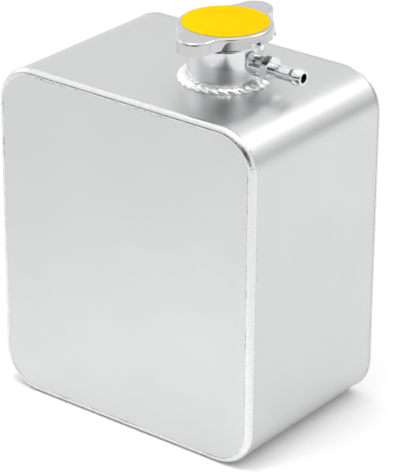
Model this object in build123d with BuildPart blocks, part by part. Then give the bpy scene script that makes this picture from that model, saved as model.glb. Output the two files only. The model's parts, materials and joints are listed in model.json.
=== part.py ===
from build123d import *
from math import atan2, cos, degrees, radians, sin, sqrt
import os

# Coolant expansion tank, welded from aluminium sheet, with a turned filler neck and a pressure cap.
# Millimetres, +Z up. The origin is the centre of the base. The front plate faces -Y and the
# overflow hose tail on the neck points along +X.

# Tank
tank_width = 188.0
tank_depth = 126.0
tank_height = 212.0
corner_radius = 25.0
wrap_sheet = 3.0
plate_sheet = 3.0

# Welds
plate_root_inset = 1.0
weld_prep = 2.7
weld_crown_radius = 2.9
seam_x = 40.0
seam_face_width = 4.0
seam_root_width = 1.2
seam_root_crown = 0.5
weld_gap = 0.15

# Filler neck
neck_x = 26.0
neck_y = 0.0
neck_outer_radius = 22.25
neck_wall = 2.35
neck_bore_radius = neck_outer_radius - neck_wall
seat_width = 3.4
throat_radius = neck_bore_radius - seat_width
neck_stub = 2.0
seat_height = 7.0
neck_height = 31.2
flange_width = 3.95
flange_radius = neck_outer_radius + flange_width
flange_thickness = 2.7
flange_edge_radius = 0.8
bore_chamfer = 0.5
neck_relief_depth = 1.0
neck_relief_height = 5.7
neck_relief_taper = 2.1
neck_weld_leg = 6.05
neck_weld_height = 3.9

# Cam on the underside of the neck's flange, as angles from the middle of each notch
notch_half_angle = 18.0
cam_ramp_angle = 60.0
cam_turn = 90.0
cam_rise = 1.4
stop_angle = 6.0
stop_gap_angle = 2.0
stop_drop = 1.5
notch_root_gap = 0.4

# Port on the neck and the two hose tails
port_height = 13.0
port_boss_radius = 6.3
port_boss_stand = 7.35
port_boss_reach = neck_outer_radius + port_boss_stand
thread_radius = 4.75
thread_gap = 0.05
thread_length = 4.2
hexagon_flats = 14.0
hexagon_length = 5.0
hexagon_chamfer = 0.9
undercut_radius = 3.4
undercut_length = 3.5
tail_radius = 4.0
overflow_tail_length = 9.5
bleed_tail_length = 14.5
barb_radius = 5.15
barb_ramp = 2.8
barb_land = 2.8
barb_nose = 2.8
barb_nose_radius = 4.25
tail_bore_radius = 2.8

# Rear fittings
outlet_x = 0.0
outlet_z = 30.0
outlet_radius = 9.5
outlet_wall = 2.0
outlet_stub = 3.0
outlet_length = 38.0
outlet_bead_radius = 10.4
outlet_bead_land = 3.0
outlet_bead_ramp = 2.4
outlet_bead_setback = 6.0
outlet_weld_leg = 4.5
bleed_x = 0.0
bleed_drop = 26.0
bleed_z = tank_height - bleed_drop
bung_radius = 9.0
bung_stand = 3.0
bung_edge_chamfer = 0.6
bung_weld_leg = 3.2
bung_weld_height = 2.4
bleed_bung_length = 12.0
mount_bung_length = 18.0
mount_hole_radius = 3.4
mount_hole_depth = 14.0
mount_side_inset = 34.0
mount_base_inset = 50.0
mount_top_inset = 52.0

# Cap shell
cap_set_angle = 4.0
cap_sheet = 1.0
cap_side_gap = 1.0
cap_radius = flange_radius + cap_side_gap + cap_sheet
cap_flare = 1.0
cap_shoulder_radius = 2.0
cap_clearance_height = 2.2
cap_skirt_depth = 6.1
cap_flare_depth = 4.9
ear_stand = 2.5
ear_centre = cap_radius + ear_stand
ear_radius = 11.0
ear_blend_radius = 18.0
ear_skirt_drop = 1.5
ear_skirt_half_width = 7.5
skirt_step_run = 7.0
claw_half_angle = 13.0
claw_gap = 0.95
claw_inner_radius = neck_outer_radius + claw_gap
claw_fold_radius = 0.8
relief_half_angle = 25.0
relief_height = 2.4
relief_depth = 2.4
cover_margin = 2.6
cover_radius = cap_radius - cover_margin
cover_thickness = 0.2

# Cap inside
running_gap = 0.05
stem_radius = 3.0
stem_head_radius = 4.5
stem_collar_radius = 4.6
stem_collar_thickness = 1.2
stem_foot_radius = 5.0
stem_foot_thickness = 1.4
bell_sheet = 0.5
bell_drop = 0.5
bell_cup_gap = 1.2
gasket_side_gap = 0.7
gasket_width = 4.0
gasket_inner_radius = neck_bore_radius + gasket_side_gap
gasket_outer_radius = gasket_inner_radius + gasket_width
gasket_edge_chamfer = 0.3
cup_sheet = 0.8
guide_inner_radius = 8.8
guide_length = 8.1
spring_mean_radius = 11.2
spring_wire_radius = 1.1
spring_turns = 5.0
wire_side_count = 8
spring_seat_gap = 0.7
seat_lip_height = 1.1
seat_lip_width = 0.8
seal_side_gap = 1.1
seal_outer_radius = neck_bore_radius - seal_side_gap
seal_lip_width = 3.3
seal_lip_depth = 0.6
seal_thickness = 1.9
seal_hole_radius = 3.5
plate_margin = 0.3
plate_radius = seal_outer_radius - plate_margin
plate_thickness = 1.4
hat_radius = 8.0
hat_sheet = 1.0
hat_window_radius = 2.2
hat_window_count = 4
hat_play = 1.0
valve_travel = 3.0
foot_gap = 0.4
vacuum_disc_radius = 7.5
vacuum_disc_thickness = 1.0
vacuum_pin_radius = 1.2
vacuum_pin_gap = 1.0
vacuum_pin_head_radius = 1.7
vacuum_pin_head = 0.6
vacuum_spring_radius = 3.2
vacuum_wire_radius = 0.3
vacuum_spring_length = 3.5
vacuum_spring_turns = 3.0
washer_radius = 4.2
washer_thickness = 0.6

# Heights and places that follow from the sizes above
wrap_length = tank_depth - 2 * plate_sheet
neck_bottom_z = tank_height - wrap_sheet - neck_stub
seat_z = tank_height + seat_height
port_z = tank_height + port_height
neck_top_z = tank_height + neck_height
flange_under_z = neck_top_z - flange_thickness
cap_inner_z = neck_top_z + cap_clearance_height
disc_top_z = cap_inner_z + cap_sheet
skirt_bottom_z = cap_inner_z - cap_skirt_depth
ear_bottom_z = skirt_bottom_z - ear_skirt_drop
bell_flat_z = cap_inner_z - bell_sheet
bell_rim_z = bell_flat_z - bell_drop
cup_under_z = bell_flat_z - cup_sheet
seal_inner_z = seat_z + seal_lip_depth
seal_top_z = seal_inner_z + seal_thickness
plate_top_z = seal_top_z + plate_thickness
washer_z = plate_top_z + vacuum_spring_length
pin_top_z = washer_z + washer_thickness + vacuum_pin_head
foot_bottom_z = pin_top_z + valve_travel + foot_gap
foot_top_z = foot_bottom_z + stem_foot_thickness
hat_under_z = foot_top_z + hat_play
hat_top_z = hat_under_z + hat_sheet
relief_radius = neck_outer_radius - neck_relief_depth
relief_bottom_z = flange_under_z - neck_relief_height
spring_seat_radius = spring_mean_radius + spring_wire_radius + spring_seat_gap
bell_flat_radius = spring_seat_radius + seat_lip_width + bell_cup_gap


def level(height):
    """Horizontal plane on the neck's axis, at a height above the base."""
    return Plane(origin=(neck_x, neck_y, height))


def cap_level(height):
    """The same, turned with the cap: local X runs through the claws and local Y through the ears."""
    across = (cos(radians(cap_set_angle)), sin(radians(cap_set_angle)), 0)
    return Plane(origin=(neck_x, neck_y, height), x_dir=across, z_dir=(0, 0, 1))


def end_plane(side):
    """Plane at one open end of the wrap, its normal outward: side -1 is the front, 1 the rear."""
    middle = (0, side * wrap_length / 2, tank_height / 2)
    return Plane(origin=middle, x_dir=(-side, 0, 0), z_dir=(0, side, 0))


def rear_plane(x, z, stand=0.0):
    """Plane parallel to the rear plate's outer face and stand proud of it, its local X upward."""
    return Plane(origin=(x, tank_depth / 2 + stand, z), x_dir=(0, 0, 1), z_dir=(0, 1, 0))


def turning_plane(base):
    """Plane that holds the axis of a turned piece: local X is the radius, local Y the height."""
    return Plane(origin=base.origin, x_dir=base.x_dir, z_dir=-base.y_dir)


def ring_sector(inner, outer, middle, half_angle):
    """Flat sector of a ring, centred on an angle."""
    with BuildSketch() as sector:
        with BuildLine():
            inside = CenterArc((0, 0), inner, middle - half_angle, 2 * half_angle)
            outside = CenterArc((0, 0), outer, middle - half_angle, 2 * half_angle)
            Line(inside @ 0, outside @ 0)
            Line(inside @ 1, outside @ 1)
        make_face()
    return sector.sketch


def fillet_weld(base, radius, leg, height):
    """Ring of weld in the corner between a round piece and the sheet that it stands on."""
    with BuildPart() as ring:
        with BuildSketch(turning_plane(base)):
            with BuildLine():
                Polyline((radius, 0), (radius + leg, 0), (radius, height), close=True)
            make_face()
        revolve(axis=Axis(base.origin, base.z_dir))
    return ring.part


def end_plate_blank(side):
    """Flat end plate with its outer edges cut back for the weld."""
    with BuildPart() as blank:
        with BuildSketch(end_plane(side)):
            RectangleRounded(
                tank_width - 2 * plate_root_inset,
                tank_height - 2 * plate_root_inset,
                corner_radius - plate_root_inset,
            )
        extrude(amount=plate_sheet)
        outer_face = blank.faces().sort_by(Axis.Y)[-1 if side > 0 else 0]
        chamfer(outer_face.edges(), weld_prep)
    return blank.part


def perimeter_weld(side, blank):
    """Weld that fills the prepared corner between the wrap's end and an end plate."""
    with BuildPart() as bead:
        with BuildSketch(end_plane(side)):
            RectangleRounded(tank_width, tank_height, corner_radius)
        extrude(amount=plate_sheet)
        outer_face = bead.faces().sort_by(Axis.Y)[-1 if side > 0 else 0]
        fillet(outer_face.edges(), weld_crown_radius)
        add(blank, mode=Mode.SUBTRACT)
    return bead.part


def weld_bung(base, length, hole_radius, hole_depth):
    """Round bush whose outer face lies on the base plane, with a threaded hole into it."""
    with BuildPart() as bung:
        with BuildSketch(base):
            Circle(bung_radius)
        extrude(amount=-length)
        outer_face = bung.faces().sort_by(Axis.Y)[-1]
        chamfer(outer_face.edges(), bung_edge_chamfer)
        with BuildSketch(base):
            Circle(hole_radius)
        extrude(amount=-hole_depth, mode=Mode.SUBTRACT)
    return bung.part


def hose_tail(base, tube_length):
    """Screw-in hose tail: thread, hexagon, undercut, tube and barbed tip, bored through."""
    corner_radius_of_hexagon = hexagon_flats / 2 / cos(radians(30))
    with BuildPart() as tail:
        with BuildSketch(base):
            RegularPolygon(hexagon_flats / 2, 6, major_radius=False)
        extrude(amount=hexagon_length)
        with BuildSketch(turning_plane(base)):
            with BuildLine():
                Polyline(
                    (0, 0),
                    (corner_radius_of_hexagon, 0),
                    (corner_radius_of_hexagon, hexagon_length - hexagon_chamfer / 2),
                    (corner_radius_of_hexagon - hexagon_chamfer, hexagon_length),
                    (0, hexagon_length),
                    close=True,
                )
            make_face()
        revolve(axis=Axis(base.origin, base.z_dir), mode=Mode.INTERSECT)
        tube_start = hexagon_length + undercut_length
        ramp_start = tube_start + tube_length
        land_start = ramp_start + barb_ramp
        land_end = land_start + barb_land
        tip = land_end + barb_nose
        with BuildSketch(turning_plane(base)):
            with BuildLine():
                Polyline(
                    (0, -thread_length),
                    (thread_radius, -thread_length),
                    (thread_radius, 0),
                    (undercut_radius, 0),
                    (undercut_radius, tube_start),
                    (tail_radius, tube_start),
                    (tail_radius, ramp_start),
                    (barb_radius, land_start),
                    (barb_radius, land_end),
                    (barb_nose_radius, tip),
                    (0, tip),
                    close=True,
                )
            make_face()
        revolve(axis=Axis(base.origin, base.z_dir))
        with BuildSketch(base.offset(-thread_length)):
            Circle(tail_bore_radius)
        extrude(amount=thread_length + tip, mode=Mode.SUBTRACT)
    return tail.part


def coil_spring(base, mean_radius, wire_radius, length, turns):
    """Compression spring that stands on the base plane and fills a length; eight flats make its wire."""
    rise = length - 2 * wire_radius
    with BuildPart() as coil:
        with BuildLine(base.offset(wire_radius)):
            path = Helix(pitch=rise / turns, height=rise, radius=mean_radius)
        with BuildSketch(Plane(origin=path @ 0, z_dir=path % 0)):
            RegularPolygon(wire_radius, wire_side_count)
        sweep()
    return coil.part


def cap_outline(inset):
    """The cap from above: a round body and two ears, joined by hollow blends that touch both."""
    body = cap_radius - inset
    ear = ear_radius - inset
    blend = ear_blend_radius + inset
    blend_y = (ear_centre**2 + (body + blend) ** 2 - (ear + blend) ** 2) / (2 * ear_centre)
    blend_x = sqrt((body + blend) ** 2 - blend_y**2)
    body_angle = degrees(atan2(blend_y, blend_x))
    ear_angle = degrees(atan2(blend_y - ear_centre, blend_x))
    with BuildSketch() as outline:
        with BuildLine():
            CenterArc((0, 0), body, 0, body_angle)
            CenterArc((blend_x, blend_y), blend, 180 + body_angle, ear_angle - body_angle)
            CenterArc((0, ear_centre), ear, ear_angle, 90 - ear_angle)
            mirror(about=Plane.YZ)
            mirror(about=Plane.XZ)
        make_face()
    return outline.sketch


def cap_form(inset, bottom):
    """Solid form of the pressed cap down to a height, drawn in by inset at its sides and top."""
    body_radius = cap_radius - inset
    flare_bottom_z = cap_inner_z - cap_skirt_depth
    with BuildPart() as form:
        with BuildSketch(cap_level(bottom)):
            add(cap_outline(inset))
        extrude(amount=disc_top_z - inset - bottom)
        fillet(form.faces().sort_by(Axis.Z)[-1].edges(), cap_shoulder_radius - inset / 2)
        with BuildSketch(turning_plane(cap_level(0))):
            with BuildLine():
                Polyline(
                    (0, bottom),
                    (body_radius + cap_flare, bottom),
                    (body_radius + cap_flare, flare_bottom_z),
                    (body_radius, flare_bottom_z + cap_flare_depth),
                    (0, flare_bottom_z + cap_flare_depth),
                    close=True,
                )
            make_face()
        revolve(axis=Axis((neck_x, neck_y, 0), (0, 0, 1)))
    return form.part


# Wrap
with BuildPart() as body_wrap:
    with BuildSketch(end_plane(1)):
        RectangleRounded(tank_width, tank_height, corner_radius)
        RectangleRounded(
            tank_width - 2 * wrap_sheet,
            tank_height - 2 * wrap_sheet,
            corner_radius - wrap_sheet,
            mode=Mode.SUBTRACT,
        )
    extrude(amount=-wrap_length)
    with BuildSketch(level(tank_height)):
        Circle(neck_outer_radius + weld_gap)
    extrude(amount=-2 * wrap_sheet, mode=Mode.SUBTRACT)
    with BuildSketch(Plane.XZ.offset(-wrap_length / 2)):
        with BuildLine():
            Polyline(
                (seam_x - seam_face_width / 2, 0),
                (seam_x + seam_face_width / 2, 0),
                (seam_x + seam_root_width / 2, wrap_sheet),
                (seam_x - seam_root_width / 2, wrap_sheet),
                close=True,
            )
        make_face()
    extrude(amount=wrap_length, mode=Mode.SUBTRACT)

# Weld that closes the wrap along the base, flush outside and crowned inside
with BuildPart() as wrap_seam_weld:
    with BuildSketch(Plane.XZ.offset(-wrap_length / 2)):
        with BuildLine():
            face = Line((seam_x - seam_face_width / 2, 0), (seam_x + seam_face_width / 2, 0))
            flank = Line(face @ 1, (seam_x + seam_root_width / 2, wrap_sheet))
            root = SagittaArc(flank @ 1, (seam_x - seam_root_width / 2, wrap_sheet), seam_root_crown)
            Line(root @ 1, face @ 0)
        make_face()
    extrude(amount=wrap_length)

# End plates and the welds round them
front_blank = end_plate_blank(-1)
rear_blank = end_plate_blank(1)
outlet_base = rear_plane(outlet_x, outlet_z)
bleed_base = rear_plane(bleed_x, bleed_z, bung_stand)
mount_x = tank_width / 2 - mount_side_inset
mount_rows = (mount_base_inset, tank_height - mount_top_inset)
mount_places = [(side * mount_x, z) for side in (-1, 1) for z in mount_rows]
bung_places = mount_places + [(bleed_x, bleed_z)]

with BuildPart() as front_end_plate:
    add(front_blank)

with BuildPart() as rear_end_plate:
    add(rear_blank)
    for x, z in bung_places:
        with BuildSketch(rear_plane(x, z)):
            Circle(bung_radius + weld_gap)
        extrude(amount=-plate_sheet, mode=Mode.SUBTRACT)
    with BuildSketch(outlet_base):
        Circle(outlet_radius + weld_gap)
    extrude(amount=-plate_sheet, mode=Mode.SUBTRACT)

with BuildPart() as front_weld_bead:
    add(perimeter_weld(-1, front_blank))

with BuildPart() as rear_weld_bead:
    add(perimeter_weld(1, rear_blank))

# Filler neck, turned, with its port boss, notches, cam ramps and stops
neck_axis = Axis((neck_x, neck_y, 0), (0, 0, 1))
port_face = Plane(origin=(neck_x + port_boss_reach, neck_y, port_z), x_dir=(0, 0, 1), z_dir=(1, 0, 0))
ramp_foot_angle = notch_half_angle + cam_ramp_angle
notch_root_radius = neck_outer_radius + notch_root_gap
ramp_cutters = []
for half_turn in (0, 180):
    ramp_middle = half_turn - notch_half_angle - cam_ramp_angle / 2
    ramp_foot = radians(cap_set_angle + half_turn - ramp_foot_angle)
    ramp_run = neck_outer_radius * sin(radians(cam_ramp_angle))
    along = Vector(-sin(ramp_foot), cos(ramp_foot), 0)
    outward = Vector(cos(ramp_foot), sin(ramp_foot), 0)
    slope = (along + Vector(0, 0, cam_rise / ramp_run)).normalized()
    ramp_plane = Plane(
        origin=(neck_x, neck_y, flange_under_z), x_dir=outward, z_dir=outward.cross(slope)
    )
    with BuildPart() as ramp_cutter:
        with BuildSketch(cap_level(flange_under_z - cam_rise)):
            add(ring_sector(relief_radius, flange_radius + 1, ramp_middle, cam_ramp_angle / 2))
        extrude(amount=3 * cam_rise)
        split(bisect_by=ramp_plane, keep=Keep.BOTTOM)
    ramp_cutters.append(ramp_cutter.part)

with BuildPart() as filler_neck:
    with BuildSketch(turning_plane(level(0))):
        with BuildLine():
            Polyline(
                (throat_radius, neck_bottom_z),
                (neck_outer_radius, neck_bottom_z),
                (neck_outer_radius, relief_bottom_z),
                (relief_radius, relief_bottom_z + neck_relief_taper),
                (relief_radius, flange_under_z),
                (flange_radius, flange_under_z),
                (flange_radius, neck_top_z),
                (neck_bore_radius, neck_top_z),
                (neck_bore_radius, seat_z),
                (throat_radius, seat_z),
                close=True,
            )
        make_face()
    revolve(axis=neck_axis)
    top_edges = filler_neck.faces().sort_by(Axis.Z)[-1].edges().sort_by(SortBy.RADIUS)
    chamfer(top_edges[0], bore_chamfer)
    top_edges = filler_neck.faces().sort_by(Axis.Z)[-1].edges().sort_by(SortBy.RADIUS)
    fillet(top_edges[-1], flange_edge_radius)
    with BuildSketch(port_face):
        Circle(port_boss_radius)
    extrude(amount=neck_bore_radius - port_boss_reach)
    with BuildSketch(port_face):
        Circle(thread_radius + thread_gap)
    extrude(amount=-port_boss_reach, mode=Mode.SUBTRACT)
    for half_turn in (0, 180):
        with BuildSketch(cap_level(flange_under_z)):
            add(ring_sector(notch_root_radius, flange_radius + 1, half_turn, notch_half_angle))
        extrude(amount=flange_thickness, mode=Mode.SUBTRACT)
        end_stop = half_turn - cam_turn - claw_half_angle - stop_gap_angle - stop_angle / 2
        entry_stop = half_turn + notch_half_angle + stop_angle / 2
        for stop_middle in (end_stop, entry_stop):
            with BuildSketch(cap_level(flange_under_z - stop_drop)):
                add(ring_sector(relief_radius, flange_radius, stop_middle, stop_angle / 2))
            extrude(amount=stop_drop)
    for cutter in ramp_cutters:
        add(cutter, mode=Mode.SUBTRACT)

with BuildPart() as neck_weld_bead:
    add(fillet_weld(level(tank_height), neck_outer_radius, neck_weld_leg, neck_weld_height))

with BuildPart() as overflow_fitting:
    add(hose_tail(port_face, overflow_tail_length))

# Rear fittings
with BuildPart() as outlet_spigot:
    bead_end = outlet_length - outlet_bead_setback
    bead_start = bead_end - outlet_bead_land
    with BuildSketch(turning_plane(outlet_base)):
        with BuildLine():
            Polyline(
                (outlet_radius - outlet_wall, -plate_sheet - outlet_stub),
                (outlet_radius, -plate_sheet - outlet_stub),
                (outlet_radius, bead_start - outlet_bead_ramp),
                (outlet_bead_radius, bead_start),
                (outlet_bead_radius, bead_end),
                (outlet_radius, bead_end + outlet_bead_ramp),
                (outlet_radius, outlet_length),
                (outlet_radius - outlet_wall, outlet_length),
                close=True,
            )
        make_face()
    revolve(axis=Axis(outlet_base.origin, outlet_base.z_dir))

with BuildPart() as outlet_weld_bead:
    add(fillet_weld(outlet_base, outlet_radius, outlet_weld_leg, outlet_weld_leg))

with BuildPart() as bleed_boss:
    add(weld_bung(bleed_base, bleed_bung_length, thread_radius + thread_gap, bleed_bung_length))

with BuildPart() as bleed_weld_bead:
    add(fillet_weld(rear_plane(bleed_x, bleed_z), bung_radius, bung_weld_leg, bung_weld_height))

with BuildPart() as bleed_fitting:
    add(hose_tail(bleed_base, bleed_tail_length))

mount_bungs = [
    weld_bung(rear_plane(x, z, bung_stand), mount_bung_length, mount_hole_radius, mount_hole_depth)
    for x, z in mount_places
]
mount_welds = [
    fillet_weld(rear_plane(x, z), bung_radius, bung_weld_leg, bung_weld_height) for x, z in mount_places
]

with BuildPart() as mounting_bosses:
    for bung in mount_bungs:
        add(bung)

with BuildPart() as mounting_boss_welds:
    for weld in mount_welds:
        add(weld)

# Cap shell: pressed sheet with two ears, a skirt cut back between them, folded claws and slots
cap_outside = cap_form(0.0, ear_bottom_z)
cap_inside = cap_form(cap_sheet, ear_bottom_z - cap_sheet)

with BuildPart() as cap_shell:
    add(cap_outside)
    add(cap_inside, mode=Mode.SUBTRACT)
    for side in (-1, 1):
        step_x = side * ear_skirt_half_width
        far_x = side * 2 * cap_radius
        with BuildSketch(turning_plane(cap_level(0)).offset(-2 * cap_radius)):
            with BuildLine():
                Polyline(
                    (step_x, ear_bottom_z - cap_sheet),
                    (step_x, ear_bottom_z),
                    (step_x + side * skirt_step_run, skirt_bottom_z),
                    (far_x, skirt_bottom_z),
                    (far_x, ear_bottom_z - cap_sheet),
                    close=True,
                )
            make_face()
        extrude(amount=4 * cap_radius, mode=Mode.SUBTRACT)
    for half_turn in (0, 180):
        for side in (-1, 1):
            slot_half_angle = (relief_half_angle - claw_half_angle) / 2
            slot_middle = half_turn + side * (claw_half_angle + slot_half_angle)
            with BuildSketch(cap_level(skirt_bottom_z)):
                add(
                    ring_sector(
                        cap_radius - relief_depth,
                        cap_radius + cap_flare + 1,
                        slot_middle,
                        slot_half_angle,
                    )
                )
            extrude(amount=relief_height, mode=Mode.SUBTRACT)
        with BuildSketch(cap_level(skirt_bottom_z)):
            add(ring_sector(claw_inner_radius, cap_radius + cap_flare / 2, half_turn, claw_half_angle))
        extrude(amount=cap_sheet)
    claw_half_width = (cap_radius + cap_flare) * sin(radians(claw_half_angle))
    bottom_edges = cap_shell.edges().filter_by(GeomType.CIRCLE).filter_by(
        lambda edge: abs(edge.center().Z - skirt_bottom_z) < 0.01
        and edge.radius > cap_radius
        and abs(cap_level(0).to_local_coords(edge.center()).Y) < claw_half_width
    )
    fillet(bottom_edges, claw_fold_radius)
    with BuildSketch(turning_plane(cap_level(0))):
        with BuildLine():
            Polyline(
                (0, cap_inner_z),
                (stem_radius + running_gap, cap_inner_z),
                (stem_head_radius + running_gap, disc_top_z - running_gap),
                (stem_head_radius + running_gap, disc_top_z),
                (0, disc_top_z),
                close=True,
            )
        make_face()
    revolve(axis=neck_axis, mode=Mode.SUBTRACT)

with BuildPart() as cap_disc_cover:
    with BuildSketch(cap_level(disc_top_z)):
        Circle(cover_radius)
    extrude(amount=cover_thickness)

# Inside the cap
with BuildPart() as cap_stem:
    with BuildSketch(turning_plane(cap_level(0))):
        with BuildLine():
            Polyline(
                (0, foot_bottom_z),
                (stem_foot_radius, foot_bottom_z),
                (stem_foot_radius, foot_top_z),
                (stem_radius, foot_top_z),
                (stem_radius, cup_under_z - stem_collar_thickness),
                (stem_collar_radius, cup_under_z - stem_collar_thickness),
                (stem_collar_radius, cup_under_z),
                (stem_radius, cup_under_z),
                (stem_radius, cap_inner_z),
                (stem_head_radius, disc_top_z - running_gap),
                (0, disc_top_z - running_gap),
                close=True,
            )
        make_face()
    revolve(axis=neck_axis)

with BuildPart() as bell_spring:
    with BuildSketch(turning_plane(cap_level(0))):
        with BuildLine():
            Polyline(
                (stem_radius + running_gap, bell_flat_z),
                (bell_flat_radius, bell_flat_z),
                (gasket_inner_radius, bell_rim_z),
                (gasket_outer_radius, bell_rim_z),
                (gasket_outer_radius, bell_rim_z + bell_sheet),
                (gasket_inner_radius, bell_rim_z + bell_sheet),
                (bell_flat_radius, bell_flat_z + bell_sheet),
                (stem_radius + running_gap, bell_flat_z + bell_sheet),
                close=True,
            )
        make_face()
    revolve(axis=neck_axis)

with BuildPart() as cap_gasket:
    with BuildSketch(cap_level(neck_top_z)):
        Circle(gasket_outer_radius)
        Circle(gasket_inner_radius, mode=Mode.SUBTRACT)
    extrude(amount=bell_rim_z - neck_top_z)
    chamfer(cap_gasket.edges().filter_by(GeomType.CIRCLE), gasket_edge_chamfer)

with BuildPart() as spring_cup:
    with BuildSketch(turning_plane(cap_level(0))):
        guide_outer = guide_inner_radius + cup_sheet
        rim_outer = spring_seat_radius + seat_lip_width
        with BuildLine():
            Polyline(
                (stem_radius + running_gap, bell_flat_z),
                (rim_outer, bell_flat_z),
                (rim_outer, cup_under_z - seat_lip_height),
                (spring_seat_radius, cup_under_z - seat_lip_height),
                (spring_seat_radius, cup_under_z),
                (guide_outer, cup_under_z),
                (guide_outer, cup_under_z - guide_length),
                (guide_inner_radius, cup_under_z - guide_length),
                (guide_inner_radius, cup_under_z),
                (stem_radius + running_gap, cup_under_z),
                close=True,
            )
        make_face()
    revolve(axis=neck_axis)

with BuildPart() as pressure_spring:
    add(
        coil_spring(
            cap_level(plate_top_z),
            spring_mean_radius,
            spring_wire_radius,
            cup_under_z - plate_top_z,
            spring_turns,
        )
    )

with BuildPart() as pressure_plate:
    with BuildSketch(turning_plane(cap_level(0))):
        with BuildLine():
            Polyline(
                (vacuum_pin_radius + vacuum_pin_gap, seal_top_z),
                (plate_radius, seal_top_z),
                (plate_radius, plate_top_z),
                (spring_seat_radius + seat_lip_width, plate_top_z),
                (spring_seat_radius + seat_lip_width, plate_top_z + seat_lip_height),
                (spring_seat_radius, plate_top_z + seat_lip_height),
                (spring_seat_radius, plate_top_z),
                (hat_radius, plate_top_z),
                (hat_radius, hat_top_z),
                (stem_radius + running_gap, hat_top_z),
                (stem_radius + running_gap, hat_under_z),
                (hat_radius - hat_sheet, hat_under_z),
                (hat_radius - hat_sheet, plate_top_z),
                (vacuum_pin_radius + vacuum_pin_gap, plate_top_z),
                close=True,
            )
        make_face()
    revolve(axis=neck_axis)
    window_z = (plate_top_z + hat_under_z) / 2
    for index in range(hat_window_count):
        heading = radians(cap_set_angle + 360 * index / hat_window_count)
        toward = (cos(heading), sin(heading), 0)
        with BuildSketch(Plane(origin=(neck_x, neck_y, window_z), z_dir=toward)):
            Circle(hat_window_radius)
        extrude(amount=hat_radius + 1, mode=Mode.SUBTRACT)

with BuildPart() as pressure_seal:
    with BuildSketch(turning_plane(cap_level(0))):
        with BuildLine():
            Polyline(
                (seal_hole_radius, seal_inner_z),
                (seal_outer_radius - seal_lip_width, seal_inner_z),
                (seal_outer_radius - seal_lip_width, seat_z),
                (seal_outer_radius, seat_z),
                (seal_outer_radius, seal_top_z),
                (seal_hole_radius, seal_top_z),
                close=True,
            )
        make_face()
    revolve(axis=neck_axis)

with BuildPart() as vacuum_valve:
    with BuildSketch(turning_plane(cap_level(0))):
        with BuildLine():
            Polyline(
                (0, seal_inner_z - vacuum_disc_thickness),
                (vacuum_disc_radius, seal_inner_z - vacuum_disc_thickness),
                (vacuum_disc_radius, seal_inner_z),
                (vacuum_pin_radius, seal_inner_z),
                (vacuum_pin_radius, washer_z + washer_thickness),
                (vacuum_pin_head_radius, washer_z + washer_thickness),
                (vacuum_pin_head_radius, pin_top_z),
                (0, pin_top_z),
                close=True,
            )
        make_face()
    revolve(axis=neck_axis)

with BuildPart() as vacuum_spring:
    add(
        coil_spring(
            cap_level(plate_top_z),
            vacuum_spring_radius,
            vacuum_wire_radius,
            vacuum_spring_length,
            vacuum_spring_turns,
        )
    )

with BuildPart() as vacuum_retainer:
    with BuildSketch(cap_level(washer_z)):
        Circle(washer_radius)
        Circle(vacuum_pin_radius + running_gap, mode=Mode.SUBTRACT)
    extrude(amount=washer_thickness)

# Every piece under its own name
pieces = {
    "body_wrap": body_wrap,
    "wrap_seam_weld": wrap_seam_weld,
    "front_end_plate": front_end_plate,
    "rear_end_plate": rear_end_plate,
    "front_weld_bead": front_weld_bead,
    "rear_weld_bead": rear_weld_bead,
    "filler_neck": filler_neck,
    "neck_weld_bead": neck_weld_bead,
    "overflow_fitting": overflow_fitting,
    "outlet_spigot": outlet_spigot,
    "outlet_weld_bead": outlet_weld_bead,
    "bleed_boss": bleed_boss,
    "bleed_weld_bead": bleed_weld_bead,
    "bleed_fitting": bleed_fitting,
    "mounting_bosses": mounting_bosses,
    "mounting_boss_welds": mounting_boss_welds,
    "cap_shell": cap_shell,
    "cap_disc_cover": cap_disc_cover,
    "cap_stem": cap_stem,
    "bell_spring": bell_spring,
    "cap_gasket": cap_gasket,
    "spring_cup": spring_cup,
    "pressure_spring": pressure_spring,
    "pressure_plate": pressure_plate,
    "pressure_seal": pressure_seal,
    "vacuum_valve": vacuum_valve,
    "vacuum_spring": vacuum_spring,
    "vacuum_retainer": vacuum_retainer,
}
os.makedirs("parts", exist_ok=True)
for name, piece in pieces.items():
    piece.part.label = name
    export_step(piece.part, f"parts/{name}.step")
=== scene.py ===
"""Coolant expansion tank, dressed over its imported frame: welds, fittings, cap, finishes and studio.

Lengths are metres. The frame's origin is the centre of the tank's base, +Z is up, the front plate
faces -Y and the overflow hose tail points along +X.
"""

from __future__ import annotations

import json
import logging
import math
from abc import ABC, abstractmethod
from dataclasses import dataclass, replace
from enum import Enum
from itertools import product
from typing import Any, Sequence

import bpy
from mathutils import Matrix, Vector

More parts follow.
